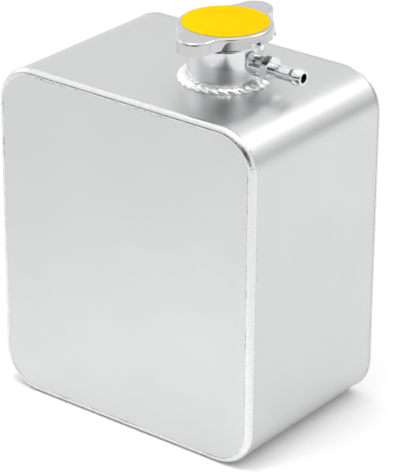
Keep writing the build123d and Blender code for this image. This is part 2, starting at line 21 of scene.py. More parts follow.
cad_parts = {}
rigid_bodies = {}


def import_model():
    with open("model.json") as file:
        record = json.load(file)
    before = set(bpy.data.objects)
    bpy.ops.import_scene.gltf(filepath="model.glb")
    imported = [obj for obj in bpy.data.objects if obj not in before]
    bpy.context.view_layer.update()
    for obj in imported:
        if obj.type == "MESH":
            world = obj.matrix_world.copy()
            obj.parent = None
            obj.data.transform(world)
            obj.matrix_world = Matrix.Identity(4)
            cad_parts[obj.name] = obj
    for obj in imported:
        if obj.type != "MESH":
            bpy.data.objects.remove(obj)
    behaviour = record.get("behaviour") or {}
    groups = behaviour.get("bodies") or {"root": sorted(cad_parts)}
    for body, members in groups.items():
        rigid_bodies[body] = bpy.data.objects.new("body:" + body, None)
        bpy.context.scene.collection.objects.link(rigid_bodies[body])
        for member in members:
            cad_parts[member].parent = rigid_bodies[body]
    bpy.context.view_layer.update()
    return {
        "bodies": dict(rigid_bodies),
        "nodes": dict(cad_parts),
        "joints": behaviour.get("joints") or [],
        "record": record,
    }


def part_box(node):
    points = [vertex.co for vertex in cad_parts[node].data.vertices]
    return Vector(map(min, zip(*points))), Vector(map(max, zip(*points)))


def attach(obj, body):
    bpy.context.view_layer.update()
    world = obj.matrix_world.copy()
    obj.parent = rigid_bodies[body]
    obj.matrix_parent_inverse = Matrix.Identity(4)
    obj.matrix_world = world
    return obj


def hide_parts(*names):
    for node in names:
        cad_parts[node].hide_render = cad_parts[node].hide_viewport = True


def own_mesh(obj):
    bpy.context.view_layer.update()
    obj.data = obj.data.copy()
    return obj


log = logging.getLogger("expansion_tank")

MM = 0.001
IMAGE_HEIGHT = 474
IMAGE_WIDTH = 400
BEAD_ATTRIBUTES = ("across", "lobe", "etch")

Piece = bpy.types.Object
Material = bpy.types.Material
Point = tuple[float, float]
Triple = tuple[float, float, float]
Shell = tuple[list[Vector], list[tuple[int, ...]]]


class Axis(Enum):
    """Axis of a turned piece: the two directions across it, then its own."""

    X = ("Y", "Z", "X")
    Y = ("Z", "X", "Y")
    Z = ("X", "Y", "Z")


class Side(Enum):
    """The two end plates of the tank, by the sign of their outward direction along Y."""

    FRONT = -1
    REAR = 1


# Node trees


@dataclass(frozen=True)
class Grain:
    """Noise pattern, and the band of its values that a finish follows from end to end."""

    scale: float
    detail: float = 2.0
    rough: float = 0.5
    low: float = 0.3
    high: float = 0.7
    stretch: Triple = (1.0, 1.0, 1.0)


Relief = tuple[tuple[Grain, float], ...]


class Signal:
    """Output socket of a node tree, combined with others by plain operators."""

    def __init__(self, bench: NodeBench, socket: bpy.types.NodeSocket) -> None:
        """Keep the socket and the bench of its tree."""
        self.bench = bench
        self.socket = socket

    def __add__(self, other: Any) -> Signal:
        """Add a signal or number."""
        return self.bench.math("ADD", self, other)

    def __sub__(self, other: Any) -> Signal:
        """Take away a signal or number."""
        return self.bench.math("SUBTRACT", self, other)

    def __rsub__(self, other: float) -> Signal:
        """Take this from a number."""
        return self.bench.math("SUBTRACT", other, self)

    def __mul__(self, other: Any) -> Signal:
        """Multiply by a signal or number."""
        return self.bench.math("MULTIPLY", self, other)

    def __pow__(self, other: Any) -> Signal:
        """Raise to a power."""
        return self.bench.math("POWER", self, other)


class NodeBench:
    """Adds and links the nodes of one tree, for a shader or for Geometry Nodes."""

    def __init__(self, tree: bpy.types.NodeTree) -> None:
        """Keep the tree."""
        self.tree = tree

    def feed(self, target: bpy.types.NodeSocket, source: Any) -> None:
        """Link a socket to a signal, or set its value.

        Args:
            target: the input socket.
            source: a signal, a plain value, or None to leave the socket alone.
        """
        if isinstance(source, Signal):
            self.tree.links.new(source.socket, target)
        elif source is not None:
            target.default_value = source

    def node(self, kind: str, inputs: dict[str, Any] | None = None, **settings: Any) -> bpy.types.Node:
        """Add a node.

        Args:
            kind: Blender's identifier of the node type.
            inputs: signals or values of its inputs by name.
            **settings: properties of the node.

        Returns:
            The new node.
        """
        made = self.tree.nodes.new(kind)
        for name, value in settings.items():
            setattr(made, name, value)
        for name, source in (inputs or {}).items():
            self.feed(made.inputs[name], source)
        return made

    def take(self, output: str, kind: str, inputs: dict[str, Any] | None = None, **settings: Any) -> Signal:
        """Add a node, as node() does, and take the output of a name."""
        return Signal(self, self.node(kind, inputs, **settings).outputs[output])

    def math(self, operation: str, *terms: Any, clamp: bool = False) -> Signal:
        """Add a Math node.

        Args:
            operation: Blender's name of the operation.
            *terms: its inputs, as signals or numbers.
            clamp: whether the result is kept from 0 to 1.

        Returns:
            The result.
        """
        made = self.node("ShaderNodeMath", operation=operation, use_clamp=clamp)
        for socket, term in zip(made.inputs, terms):
            self.feed(socket, term)
        return Signal(self, made.outputs["Value"])

    def vector(self, operation: str, *terms: Any, scale: Any = None, output: str = "Vector") -> Signal:
        """Add a Vector Math node.

        Args:
            operation: Blender's name of the operation.
            *terms: its vector inputs, as signals or triples.
            scale: the number that a SCALE operation multiplies by.
            output: Vector, or Value for an operation that gives a number.

        Returns:
            The result.
        """
        made = self.node("ShaderNodeVectorMath", operation=operation)
        for socket, term in zip(made.inputs, terms):
            self.feed(socket, term)
        if scale is not None:
            self.feed(made.inputs["Scale"], scale)
        return Signal(self, made.outputs[output])

    def join(self, x: Any = None, y: Any = None, z: Any = None) -> Signal:
        """Join up to three numbers into a vector."""
        return self.take("Vector", "ShaderNodeCombineXYZ", {"X": x, "Y": y, "Z": z})

    def split(self, vector: Signal) -> dict[str, Signal]:
        """Split a vector into its X, Y and Z."""
        parts = self.node("ShaderNodeSeparateXYZ", {"Vector": vector}).outputs
        return {name: Signal(self, parts[name]) for name in "XYZ"}

    def span(self, value: Signal, low: float, high: float, start: float, end: float) -> Signal:
        """Map a value smoothly from one range to another.

        Args:
            value: what is mapped.
            low: value at the start of the range.
            high: value at its end.
            start: result at low.
            end: result at high.

        Returns:
            The result.
        """
        names = ("Value", "From Min", "From Max", "To Min", "To Max")
        inputs = dict(zip(names, (value, low, high, start, end)))
        return self.take("Result", "ShaderNodeMapRange", inputs, interpolation_type="SMOOTHSTEP", clamp=True)

    def noise(self, place: Signal, grain: Grain) -> Signal:
        """Add a noise texture.

        Args:
            place: the vector that it follows.
            grain: its pattern.

        Returns:
            The noise, about 0.5 in the middle.
        """
        inputs = {"Scale": grain.scale, "Detail": grain.detail, "Roughness": grain.rough}
        inputs["Vector"] = self.vector("MULTIPLY", place, grain.stretch)
        return self.take("Fac", "ShaderNodeTexNoise", inputs)

    def follow(self, place: Signal, grain: Grain, start: float, end: float) -> Signal:
        """Follow a noise pattern between two values."""
        return self.span(self.noise(place, grain), grain.low, grain.high, start, end)

    def capture(self, geometry: Signal, **values: tuple[str, Signal]) -> list[Signal]:
        """Keep values on the points of a geometry.

        Args:
            geometry: the geometry.
            **values: kind and signal of each value.

        Returns:
            The geometry, then the kept values.
        """
        made = self.node("GeometryNodeCaptureAttribute", domain="POINT")
        for name, (kind, _) in values.items():
            made.capture_items.new(kind, name)
        self.feed(made.inputs["Geometry"], geometry)
        for name, (_, value) in values.items():
            self.feed(made.inputs[name], value)
        return [Signal(self, made.outputs[name]) for name in ("Geometry", *values)]

    def spline_factor(self) -> Signal:
        """Share of the way along a spline."""
        return self.take("Factor", "GeometryNodeSplineParameter")

    def resample(self, curve: Signal, count: Any) -> Signal:
        """Divide a curve into a number of points."""
        inputs = {"Curve": curve, "Count": count}
        return self.take("Curve", "GeometryNodeResampleCurve", inputs, mode="COUNT")

    def sweep(self, curve: Signal, profile: Signal, caps: bool = False) -> Signal:
        """Sweep a profile along a curve, as a mesh."""
        inputs = {"Curve": curve, "Profile Curve": profile, "Fill Caps": caps}
        return self.take("Mesh", "GeometryNodeCurveToMesh", inputs)


# Finishes


class Coat(NodeBench):
    """Bench of one material, with its Principled shader and Object coordinates."""

    def __init__(self, material: Material) -> None:
        """Clear the material's tree and put the shader in it.

        Args:
            material: a new material.
        """
        material.use_nodes = True
        material.node_tree.nodes.clear()
        super().__init__(material.node_tree)
        shader = self.node("ShaderNodeBsdfPrincipled")
        self.sockets = shader.inputs
        self.node("ShaderNodeOutputMaterial", {"Surface": Signal(self, shader.outputs["BSDF"])})
        self.place = self.take("Object", "ShaderNodeTexCoord")

    def paint(self, colour: Any, roughness: Signal, metallic: float = 1.0) -> None:
        """Set the shader's colour and sheen.

        Args:
            colour: a signal or a triple.
            roughness: the roughness.
            metallic: 1 for metal, 0 for anything else.
        """
        self.feed(self.sockets["Base Color"], colour if isinstance(colour, Signal) else (*colour, 1.0))
        self.feed(self.sockets["Roughness"], roughness)
        self.sockets["Metallic"].default_value = metallic

    def blend(self, first: Any, second: Triple, factor: Signal) -> Signal:
        """Blend two colours.

        Args:
            first: colour at factor 0, a signal or a triple.
            second: colour at factor 1.
            factor: from 0 to 1.

        Returns:
            The blended colour.
        """
        start = first if isinstance(first, Signal) else (*first, 1.0)
        inputs = {"A": start, "B": (*second, 1.0), "Factor": factor}
        return self.take("Result", "ShaderNodeMix", inputs, data_type="RGBA")

    def bump(self, place: Signal, relief: Relief) -> None:
        """Stack bumps and feed them to the shader's normal.

        Args:
            place: the vector that the patterns follow.
            relief: patterns, each with its depth in metres.
        """
        normal = None
        for grain, depth in relief:
            height = self.noise(place, grain)
            inputs = {"Strength": 1.0, "Distance": depth, "Height": height, "Normal": normal}
            normal = self.take("Normal", "ShaderNodeBump", inputs)
        self.feed(self.sockets["Normal"], normal)


@dataclass(frozen=True)
class Finish(ABC):
    """One surface finish, which builds its own material."""

    name: str

    def build(self) -> Material:
        """Make the material.

        Returns:
            A new node material with a Principled shader.
        """
        material = bpy.data.materials.new(self.name)
        self.dress(Coat(material))
        return material

    @abstractmethod
    def dress(self, coat: Coat) -> None:
        """Set the shader.

        Args:
            coat: the bench of the material.
        """


@dataclass(frozen=True)
class PlainFinish(Finish):
    """Surface of one colour with blotches, an uneven sheen and fine relief."""

    colour: Triple
    roughness: tuple[float, float]
    sheen: Grain
    relief: Relief = ()
    metallic: float = 1.0
    specular: float = 0.5
    blotch: Grain | None = None
    blotch_shade: float = 1.0

    def dress(self, coat: Coat) -> None:
        """Set the shader.

        Args:
            coat: the bench of the material.
        """
        colour: Any = self.colour
        if self.blotch:
            shaded = tuple(part * self.blotch_shade for part in self.colour)
            colour = coat.blend(self.colour, shaded, coat.follow(coat.place, self.blotch, 0.0, 1.0))
        coat.paint(colour, coat.follow(coat.place, self.sheen, *self.roughness), self.metallic)
        coat.sockets["Specular IOR Level"].default_value = self.specular
        coat.bump(coat.place, self.relief)


@dataclass(frozen=True)
class WeldMetal(Finish):
    """Bright weld metal, with painted shade: darker troughs between ripples and a thin dark line at the
    toes.

    It reads three attributes of the bead: across, from toe to toe; lobe, from trough to crown; and
    etch, which is 1 where the painted line of shade along the toe shows.
    """

    crown: Triple = (0.72, 0.722, 0.727)
    # Painted shade: the trough colour darkens the hollows between ripples, and the toe colour paints a dark
    # line along the toe.
    trough: Triple = (0.36, 0.36, 0.37)
    toe: Triple = (0.16, 0.16, 0.165)
    roughness: tuple[float, float] = (0.15, 0.31)
    trough_lobes: Point = (0.05, 0.4)
    trough_strength: float = 0.45
    toe_share: float = 0.05
    toe_raggedness: float = 0.05
    toe_strength: float = 0.8
    patches: Grain = Grain(55.0, low=0.45, high=0.62)
    ragged: Grain = Grain(420.0, 3.0, 0.6)
    relief: Relief = ((ragged, 0.000006), (Grain(1500.0), 0.000002))

    def dress(self, coat: Coat) -> None:
        """Set the shader.

        Args:
            coat: the bench of the material.
        """
        across, lobe, etch = (
            coat.take("Fac", "ShaderNodeAttribute", attribute_name=name) for name in BEAD_ATTRIBUTES
        )
        # Painted shade along the toe: a ragged dark line, patchy along its length.
        shift = coat.follow(coat.place, self.ragged, -self.toe_raggedness, self.toe_raggedness)
        line_start = 1.0 - self.toe_share
        line = coat.span(across + shift, line_start, line_start + self.toe_share / 2, 0.0, 1.0)
        patchy = coat.follow(coat.place, self.patches, 0.0, self.toe_strength)
        # Painted shade in the troughs between ripples, where lobe is low.
        trough_shade = coat.span(lobe, *self.trough_lobes, 1.0, 0.0) * self.trough_strength
        rippled = coat.blend(self.crown, self.trough, trough_shade)
        lined = coat.blend(rippled, self.toe, line * patchy * etch)
        coat.paint(lined, coat.follow(coat.place, self.ragged, *self.roughness))
        coat.bump(coat.place, self.relief)


@dataclass(frozen=True)
class TurnedMetal(Finish):
    """Lathe-turned metal: fine tool marks that run round an axis."""

    colour: Triple = (0.72, 0.725, 0.73)
    roughness: float = 0.16
    roughness_spread: float = 0.05
    axis: Axis = Axis.Z
    centre: Triple = (0.0, 0.0, 0.0)
    marks: Relief = ((Grain(2200.0), 0.0000022),)
    bands: Grain = Grain(260.0)
    smear: Grain = Grain(70.0, 3.0)
    mixed_band: Point = (0.35, 0.65)

    def dress(self, coat: Coat) -> None:
        """Set the shader.

        Args:
            coat: the bench of the material.
        """
        first, second, own = self.axis.value
        parts = coat.split(coat.vector("SUBTRACT", coat.place, self.centre))
        radius = coat.vector("LENGTH", coat.join(parts[first], parts[second]), output="Value")
        rings = coat.join(radius, parts[own])
        mixed = coat.noise(rings, self.bands) * 0.5 + coat.noise(coat.place, self.smear) * 0.5
        low, high = self.roughness - self.roughness_spread, self.roughness + self.roughness_spread
        coat.paint(self.colour, coat.span(mixed, *self.mixed_band, low, high))
        coat.bump(rings, self.marks)


SATIN_SHEET = PlainFinish(
    "sheet_satin",
    colour=(0.62, 0.623, 0.627),
    roughness=(0.33, 0.39),
    sheen=Grain(22.0, 3.0, 0.6),
    relief=((Grain(9.0, 1.0, 0.3), 0.00006), (Grain(900.0, 3.0, stretch=(0.12, 1.0, 1.0)), 0.0000012)),
)
PLATED_PRESSING = PlainFinish(
    "cap_plated",
    colour=(0.57, 0.565, 0.575),
    roughness=(0.1, 0.21),
    sheen=Grain(240.0, 4.0, 0.65, low=0.35),
    relief=((Grain(60.0, 1.0, 0.4), 0.00004), (Grain(2600.0), 0.0000015)),
)
YELLOW_FILM = PlainFinish(
    "disc_film",
    colour=(0.78, 0.487, 0.0),
    roughness=(0.37, 0.47),
    sheen=Grain(700.0),
    relief=((Grain(700.0), 0.000004),),
    metallic=0.0,
    specular=0.003,
    blotch=Grain(45.0, low=0.35, high=0.65),
    blotch_shade=0.955,
)
BLACK_RUBBER = PlainFinish(
    "rubber_black",
    colour=(0.018, 0.018, 0.019),
    roughness=(0.55, 0.75),
    sheen=Grain(120.0, 3.0),
    relief=((Grain(1100.0, 4.0, 0.6), 0.00001),),
    metallic=0.0,
    blotch=Grain(120.0, 3.0, low=0.45, high=0.8),
    blotch_shade=2.2,
)
SPRING_WIRE = PlainFinish(
    "spring_wire",
    colour=(0.50, 0.49, 0.47),
    roughness=(0.19, 0.34),
    sheen=Grain(90.0, 3.0, 0.6),
    relief=((Grain(1800.0), 0.000002),),
    blotch=Grain(90.0, 3.0, 0.6, low=0.45, high=0.75),
    blotch_shade=0.72,
)
STUDIO_FLOOR = PlainFinish(
    "studio_floor",
    colour=(0.93, 0.93, 0.93),
    roughness=(0.85, 0.95),
    sheen=Grain(60.0, 3.0),
    metallic=0.0,
    specular=0.1,
)
SEAM_WELD = WeldMetal("weld_metal")
# Fillet welds have brighter crowns and deeper painted shade in their troughs.
FILLET_WELD = WeldMetal(
    "weld_fillet",
    crown=(0.88, 0.882, 0.885),
    trough=(0.3, 0.3, 0.31),
    roughness=(0.26, 0.42),
    trough_strength=0.6,
)


class Palette:
    """The materials of the model, each built once."""

    def __init__(self, neck: Vector, port_z: float) -> None:
        """Build every finish.

        Args:
            neck: a point on the neck's axis.
            port_z: height of the overflow port's axis.
        """
        neck_axis = TurnedMetal("neck_turned", centre=(neck.x, neck.y, 0.0))
        port_axis = TurnedMetal("overflow_turned", roughness=0.12, axis=Axis.X, centre=(0.0, neck.y, port_z))
        self.sheet = SATIN_SHEET.build()
        self.weld = SEAM_WELD.build()
        self.fillet_weld = FILLET_WELD.build()
        self.neck = neck_axis.build()
        self.overflow = port_axis.build()
        self.rear = TurnedMetal("rear_turned", axis=Axis.Y, roughness=0.2).build()
        self.cap = PLATED_PRESSING.build()
        self.disc = YELLOW_FILM.build()
        self.steel = replace(neck_axis, name="cap_steel", colour=(0.58, 0.575, 0.57), roughness=0.22).build()
        self.wire = SPRING_WIRE.build()
        self.rubber = BLACK_RUBBER.build()
        self.brass = replace(neck_axis, name="valve_brass", colour=(0.72, 0.50, 0.21), roughness=0.2).build()


# Shapes in mesh code


def soften(outline: Sequence[Point], radius: float, steps: int = 4, side_share: float = 0.45) -> list[Point]:
    """Round the corners of a closed outline.

    Args:
        outline: corner points in order.
        radius: radius of the rounding.
        steps: segments of each rounding.
        side_share: most of a side that one rounding takes up.

    Returns:
        The rounded outline.
    """
    rounded: list[Point] = []
    count = len(outline)
    for index, corner in enumerate(outline):
        here = Vector(corner)
        before = Vector(outline[index - 1]) - here
        after = Vector(outline[(index + 1) % count]) - here
        reach = min(radius, before.length * side_share, after.length * side_share)
        start = here + before.normalized() * reach
        end = here + after.normalized() * reach
        for step in range(steps + 1):
            share = step / steps
            point = start * (1 - share) ** 2 + here * 2 * share * (1 - share) + end * share**2
            rounded.append((point.x, point.y))
    return rounded


def circle_points(radius: float, count: int = 120) -> list[Point]:
    """Points on a circle.

    Args:
        radius: its radius.
        count: how many points.

    Returns:
        The points, counter-clockwise.
    """
    angles = [2 * math.pi * turn / count for turn in range(count)]
    return [(radius * math.cos(angle), radius * math.sin(angle)) for angle in angles]


def rounded_rectangle_points(width: float, height: float, radius: float, steps: int = 14) -> list[Point]:
    """Points of a rectangle with rounded corners.

    Args:
        width: its size along X.
        height: its size along Y.
        radius: corner radius.
        steps: segments of each corner.

    Returns:
        The points, counter-clockwise from the lower right.
    """
    points = []
    for corner, (right, top) in enumerate(((1, -1), (1, 1), (-1, 1), (-1, -1))):
        centre_x = right * (width / 2 - radius)
        centre_y = top * (height / 2 - radius)
        for step in range(steps + 1):
            angle = math.radians(90 * (corner - 1) + 90 * step / steps)
            points.append((centre_x + radius * math.cos(angle), centre_y + radius * math.sin(angle)))
    return points


def ring_faces(turns: int, count: int) -> list[tuple[int, ...]]:
    """Faces between the sections of a closed ring.

    Args:
        turns: how many sections there are.
        count: points of each section.

    Returns:
        The faces.
    """
    faces = []
    for turn, index in product(range(turns), range(count)):
        here, ahead = turn * count, (turn + 1) % turns * count
        following = (index + 1) % count
        faces.append((here + index, ahead + index, ahead + following, here + following))
    return faces


def lathe(outline: Sequence[Point], segments: int = 96) -> Shell:
    """Turn a closed outline that stays clear of the axis round local Z.

    Args:
        outline: points as radius and height, counter-clockwise with the radius to the right.
        segments: faces round the axis.

    Returns:
        Vertices and faces of the closed ring.
    """
    points = []
    for x, y in circle_points(1.0, segments):
        points += [Vector((radius * x, radius * y, height)) for radius, height in outline]
    return points, ring_faces(segments, len(outline))


def frame_at(origin: Vector, up: Vector, across: Vector) -> Matrix:
    """Matrix of a local frame.

    Args:
        origin: where the frame stands.
        up: its local Z.
        across: its local X, at right angles to up.

    Returns:
        The matrix from local to frame coordinates.
    """
    turn = Matrix((across, up.cross(across), up)).transposed().to_4x4()
    return Matrix.Translation(origin) @ turn


def put_in_scene(name: str, data: Any) -> Piece:
    """Make an object and link it to the scene.

    Args:
        name: the object's name.
        data: its mesh, curve, light or camera.

    Returns:
        The object.
    """
    made = bpy.data.objects.new(name, data)
    bpy.context.scene.collection.objects.link(made)
    return made


def aim(place: Triple, target: Triple) -> Matrix:
    """Matrix of a camera or light that stands at a place and looks at a target."""
    turn = (Vector(target) - Vector(place)).to_track_quat("-Z", "Y")
    return Matrix.Translation(place) @ turn.to_matrix().to_4x4()


def make_object(name: str, shells: Sequence[Shell], place: Matrix, sharp: float = 30.0) -> Piece:
    """Make one mesh object from closed shells.

    Args:
        name: the object's name.
        shells: vertices and faces of each shell, in local coordinates.
        place: matrix that puts them in the frame.
        sharp: edges sharper than this, in degrees, aren't smoothed.

    Returns:
        The object, at the origin with its place in its mesh.
    """
    vertices: list[Vector] = []
    faces: list[tuple[int, ...]] = []
    for points, polygons in shells:
        base = len(vertices)
        vertices += [place @ point for point in points]
        faces += [tuple(base + index for index in polygon) for polygon in polygons]
    mesh = bpy.data.meshes.new(name)
    mesh.from_pydata([tuple(vertex) for vertex in vertices], [], faces)
    mesh.update()
    for polygon in mesh.polygons:
        polygon.use_smooth = True
    mesh.set_sharp_from_angle(angle=math.radians(sharp))
    return put_in_scene(name, mesh)


def join_pieces(name: str, pieces: list[Piece]) -> Piece:
    """Join mesh objects at the origin into one.

    Args:
        name: name of the result.
        pieces: the objects, the first of which stays.

    Returns:
        The joined object.
    """
    kept = pieces[0]
    with bpy.context.temp_override(
        active_object=kept, object=kept, selected_objects=pieces, selected_editable_objects=pieces
    ):
        bpy.ops.object.join()
    kept.name = name
    kept.data.name = name
    return kept


def flat_path(name: str, points: Sequence[Point]) -> Piece:
    """Make a closed path in the local XY plane, counter-clockwise.

    Args:
        name: the object's name.
        points: corners of the path.

    Returns:
        A curve object with one cyclic poly spline.
    """
    curve = bpy.data.curves.new(name, "CURVE")
    curve.dimensions = "3D"
    spline = curve.splines.new("POLY")
    spline.points.add(len(points) - 1)
    for target, (x, y) in zip(spline.points, points):
        target.co = (x, y, 0.0, 1.0)
    spline.use_cyclic_u = True
    return put_in_scene(name, curve)


# Geometry Nodes trees


class NodeTool(ABC):
    """A Geometry Nodes tree that is built once and shapes many objects."""

    floats: tuple[str, ...] = ()
    integers: tuple[str, ...] = ()

    def __init__(self, name: str) -> None:
        """Build the tree.

        Args:
            name: the tree's name.
        """
        self.tree = bpy.data.node_groups.new(name, "GeometryNodeTree")
        kinds = {"Geometry": "Geometry", "Material": "Material"}
        kinds.update(dict.fromkeys(self.floats, "Float"))
        kinds.update(dict.fromkeys(self.integers, "Int"))
        interface = self.tree.interface
        for label, kind in kinds.items():
            interface.new_socket(label, in_out="INPUT", socket_type=f"NodeSocket{kind}")
        interface.new_socket("Geometry", in_out="OUTPUT", socket_type="NodeSocketGeometry")
        bench = NodeBench(self.tree)
        sockets = bench.node("NodeGroupInput").outputs
        given = {label: Signal(bench, sockets[label]) for label in kinds}
        real = bench.take("Geometry", "GeometryNodeRealizeInstances", {"Geometry": self.shape(bench, given)})
        inputs = {"Geometry": real, "Material": given["Material"]}
        coated = bench.take("Geometry", "GeometryNodeSetMaterial", inputs)
        bench.node("NodeGroupOutput", {"Geometry": coated})

    @abstractmethod
    def shape(self, bench: NodeBench, given: dict[str, Signal]) -> Signal:
        """Lay out the nodes that make the shape.

        Args:
            bench: the bench of the tree.
            given: the named inputs.

        Returns:
            The finished geometry.
        """

    def run(
        self, name: str, path: Sequence[Point], material: Material, place: Matrix, **sizes: Any
    ) -> Piece:
        """Shape a closed path and turn the result into a plain mesh.

        Args:
            name: name of the finished piece.
            path: the path's points in the local plane.
            material: the piece's material.
            place: matrix from the tree's local frame to the model's frame.
            **sizes: values of the named inputs, with underscores for spaces.

        Returns:
            The finished piece, at the origin with its place in its mesh.
        """
        source = flat_path(name + "_path", path)
        modifier = source.modifiers.new("shape", "NODES")
        modifier.node_group = self.tree
        wanted = {label.replace("_", " ").title(): value for label, value in sizes.items()}
        wanted["Material"] = material
        for item in self.tree.interface.items_tree:
            if item.in_out == "INPUT" and item.name in wanted:
                modifier[item.identifier] = wanted.pop(item.name)
        if wanted:
            raise ValueError(f"{self.tree.name} has no inputs named {sorted(wanted)}")
        bpy.context.view_layer.update()
        evaluated = source.evaluated_get(bpy.context.evaluated_depsgraph_get())
        mesh = bpy.data.meshes.new_from_object(evaluated)
        source.modifiers.remove(modifier)
        bpy.data.objects.remove(source)
        mesh.name = name
        mesh.transform(place)
        mesh.materials.clear()
        mesh.materials.append(material)
        return put_in_scene(name, mesh)


class RippledWeld(NodeTool):
    """A bead of weld laid in a corner along a flat closed path, with its stack of ripples.

    The section starts at the outer toe, a foot's width outside the path, goes over the crown and
    ends at the upper toe, at the rise above the path. Fullness is 1 for a quarter ellipse, and
    less for a fuller crown.
    """

    floats = ("Foot", "Rise", "Fullness", "Depth", "Bow", "Scallop", "Wander", "Etch", "Root")
    integers = ("Ripples", "Steps", "Seed")
    section_points = 15
    crown_share = 0.93
    root_margin = 0.01
    drift = Grain(60.0, 1.0)
    lobe_power = 0.6
    lobe_level = 0.75
    least_swell = 0.7
    most_swell = 1.2

    def section(self, bench: NodeBench, given: dict[str, Signal]) -> tuple[Signal, Signal, Signal]:
        """Draw the closed section of the bead.

        Args:
            bench: the bench of the tree.
            given: the named inputs.

        Returns:
            Its curve, its share across from toe to toe, and 1 on the crown but 0 at the root.
        """
        line = bench.take("Curve", "GeometryNodeCurvePrimitiveLine", {"End": (1.0, 0.0, 0.0)})
        fine = bench.resample(line, self.section_points)
        marked, section = bench.capture(fine, Section=("FLOAT", bench.spline_factor()))
        across = bench.math("DIVIDE", section, self.crown_share, clamp=True)
        turn = across * (math.pi / 2)
        root = bench.math("GREATER_THAN", section, self.crown_share + self.root_margin)
        crown = 1.0 - root
        reach = bench.math("COSINE", turn) ** given["Fullness"]
        climb = bench.math("SINE", turn) ** given["Fullness"]
        sink = root * given["Root"]
        corner = bench.join(reach * crown * given["Foot"] - sink, sink - climb * crown * given["Rise"])
        drawn = bench.take("Geometry", "GeometryNodeSetPosition", {"Geometry": marked, "Position": corner})
        closed = bench.take("Geometry", "GeometryNodeSetSplineCyclic", {"Geometry": drawn, "Cyclic": True})
        return closed, across, crown

    def phase(self, bench: NodeBench, given: dict[str, Signal], along: Signal, across: Signal) -> Signal:
        """Count the ripples along the bead, bowed across it and a little irregular.

        Args:
            bench: the bench of the tree.
            given: the named inputs.
            along: share along the path.
            across: share across the section.

        Returns:
            The count, whole at each trough.
        """
        here = bench.take("Position", "GeometryNodeInputPosition")
        drift = bench.noise(here, self.drift) - 0.5
        side = across * 2.0 - 1.0
        return along * given["Ripples"] + side * side * given["Bow"] + drift * given["Wander"]

    def shape(self, bench: NodeBench, given: dict[str, Signal]) -> Signal:
        """Lay out the nodes of the bead.

        Args:
            bench: the bench of the tree.
            given: the named inputs.

        Returns:
            The bead's mesh.
        """
        path = bench.resample(given["Geometry"], given["Ripples"] * given["Steps"])
        level = bench.take("Curve", "GeometryNodeSetCurveNormal", {"Curve": path}, mode="Z_UP")
        ahead = bench.take("Tangent", "GeometryNodeInputTangent")
        kept, along, tangent = bench.capture(
            level, Along=("FLOAT", bench.spline_factor()), Tangent=("VECTOR", ahead)
        )
        section, across, crown = self.section(bench, given)
        outside = bench.take("Mesh", "GeometryNodeFlipFaces", {"Mesh": bench.sweep(kept, section)})

        phase = self.phase(bench, given, along, across)
        lobe = bench.math("ABSOLUTE", bench.math("SINE", phase * math.pi)) ** self.lobe_power
        cell = bench.math("FLOORED_MODULO", bench.math("FLOOR", phase), given["Ripples"])
        inputs = {"Min": self.least_swell, "Max": self.most_swell, "ID": cell, "Seed": given["Seed"]}
        chance = bench.take("Value", "FunctionNodeRandomValue", inputs, data_type="FLOAT")
        belly = bench.math("SINE", across * math.pi)
        edge = (1.0 - across) * given["Scallop"] + belly * (1.0 - given["Scallop"])
        push = (lobe - self.lobe_level) * chance * edge * given["Depth"] * crown
        turn = across * (math.pi / 2)
        outward = bench.vector("CROSS_PRODUCT", tangent, (0.0, 0.0, 1.0))
        flat = bench.vector("SCALE", outward, scale=push * bench.math("COSINE", turn))
        offset = bench.vector("ADD", flat, bench.join(z=push * bench.math("SINE", turn)))
        bead = bench.take("Geometry", "GeometryNodeSetPosition", {"Geometry": outside, "Offset": offset})
        # The third attribute marks where the painted line of shade along the toe goes.
        for label, value in zip(BEAD_ATTRIBUTES, (across, lobe, given["Etch"])):
            inputs = {"Name": label, "Value": value, "Geometry": bead}
            bead = bench.take(
                "Geometry", "GeometryNodeStoreNamedAttribute", inputs, data_type="FLOAT", domain="POINT"
            )
        return bench.take("Geometry", "GeometryNodeSetShadeSmooth", {"Geometry": bead})


class WoundWire(NodeTool):
    """Wire wound on a cylinder round local Z: a spring with closed end turns, or a thread's ridge."""

    floats = ("Mean Radius", "Wire Radius", "Height", "Turns", "Closed Turns")
    integers = ("Steps", "Sides")
    least_share = 0.0001

    def shape(self, bench: NodeBench, given: dict[str, Signal]) -> Signal:
        """Lay out the nodes of the wire.

        Args:
            bench: the bench of the tree.
            given: the named inputs.

        Returns:
            The wire's mesh.
        """
        line = bench.take("Curve", "GeometryNodeCurvePrimitiveLine")
        fine = bench.resample(line, given["Turns"] * given["Steps"])
        kept, along = bench.capture(fine, Along=("FLOAT", bench.spline_factor()))
        angle = along * given["Turns"] * (2 * math.pi)
        share = bench.math("DIVIDE", given["Closed Turns"], given["Turns"])
        share = bench.math("MAXIMUM", share, self.least_share)
        thick = given["Wire Radius"] * 2.0
        dead = thick * given["Closed Turns"]
        free = given["Height"] - thick - dead * 2.0
        first = bench.math("DIVIDE", along, share, clamp=True)
        middle = bench.math("DIVIDE", along - share, 1.0 - share * 2.0, clamp=True)
        last = bench.math("DIVIDE", along - (1.0 - share), share, clamp=True)
        height = given["Wire Radius"] + (first + last) * dead + middle * free
        round_x = bench.math("COSINE", angle) * given["Mean Radius"]
        round_y = bench.math("SINE", angle) * given["Mean Radius"]
        inputs = {"Geometry": kept, "Position": bench.join(round_x, round_y, height)}
        wound = bench.take("Geometry", "GeometryNodeSetPosition", inputs)
        level = bench.take("Curve", "GeometryNodeSetCurveNormal", {"Curve": wound}, mode="Z_UP")
        inputs = {"Resolution": given["Sides"], "Radius": given["Wire Radius"]}
        ring = bench.take("Curve", "GeometryNodeCurvePrimitiveCircle", inputs, mode="RADIUS")
        swept = bench.sweep(level, ring, caps=True)
        return bench.take("Geometry", "GeometryNodeSetShadeSmooth", {"Geometry": swept})


# Sub-assemblies


